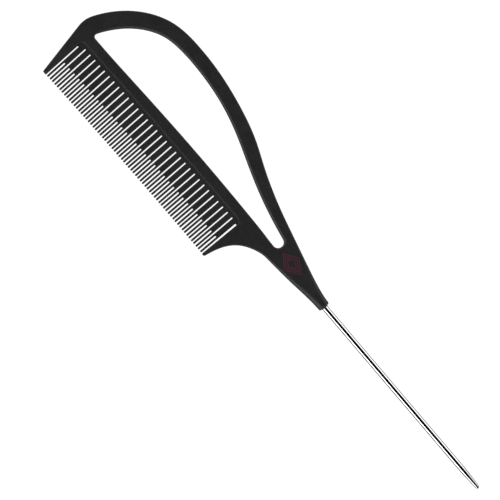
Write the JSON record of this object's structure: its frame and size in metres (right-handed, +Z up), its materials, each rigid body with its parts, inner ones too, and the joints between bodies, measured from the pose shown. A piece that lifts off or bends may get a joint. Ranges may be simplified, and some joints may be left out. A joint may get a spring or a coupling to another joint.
{
  "type": "rat tail comb",
  "caption": "Rat tail comb: fine teeth of two lengths under a long curved finger loop, with a straight metal tail pin for parting hair.",
  "frame": {"origin": "middle of the comb's box, on the surface that the comb lies on", "axes": "+X along the tail pin towards its tip, +Y away from the teeth towards the finger loop, +Z up out of the face that carries the mark"},
  "size_m": [0.2448, 0.054, 0.0042],
  "materials": {
    "moulded_plastic": "matt black, carbon filled, fine moulded grain",
    "polished_steel": "polished stainless steel",
    "printed_ink": "dull dark magenta ink"
  },
  "bodies": {
    "root": {"comb_body": "moulded_plastic", "teeth": "moulded_plastic", "tail_pin": "polished_steel", "printed_mark": "printed_ink"}
  },
  "joints": []
}
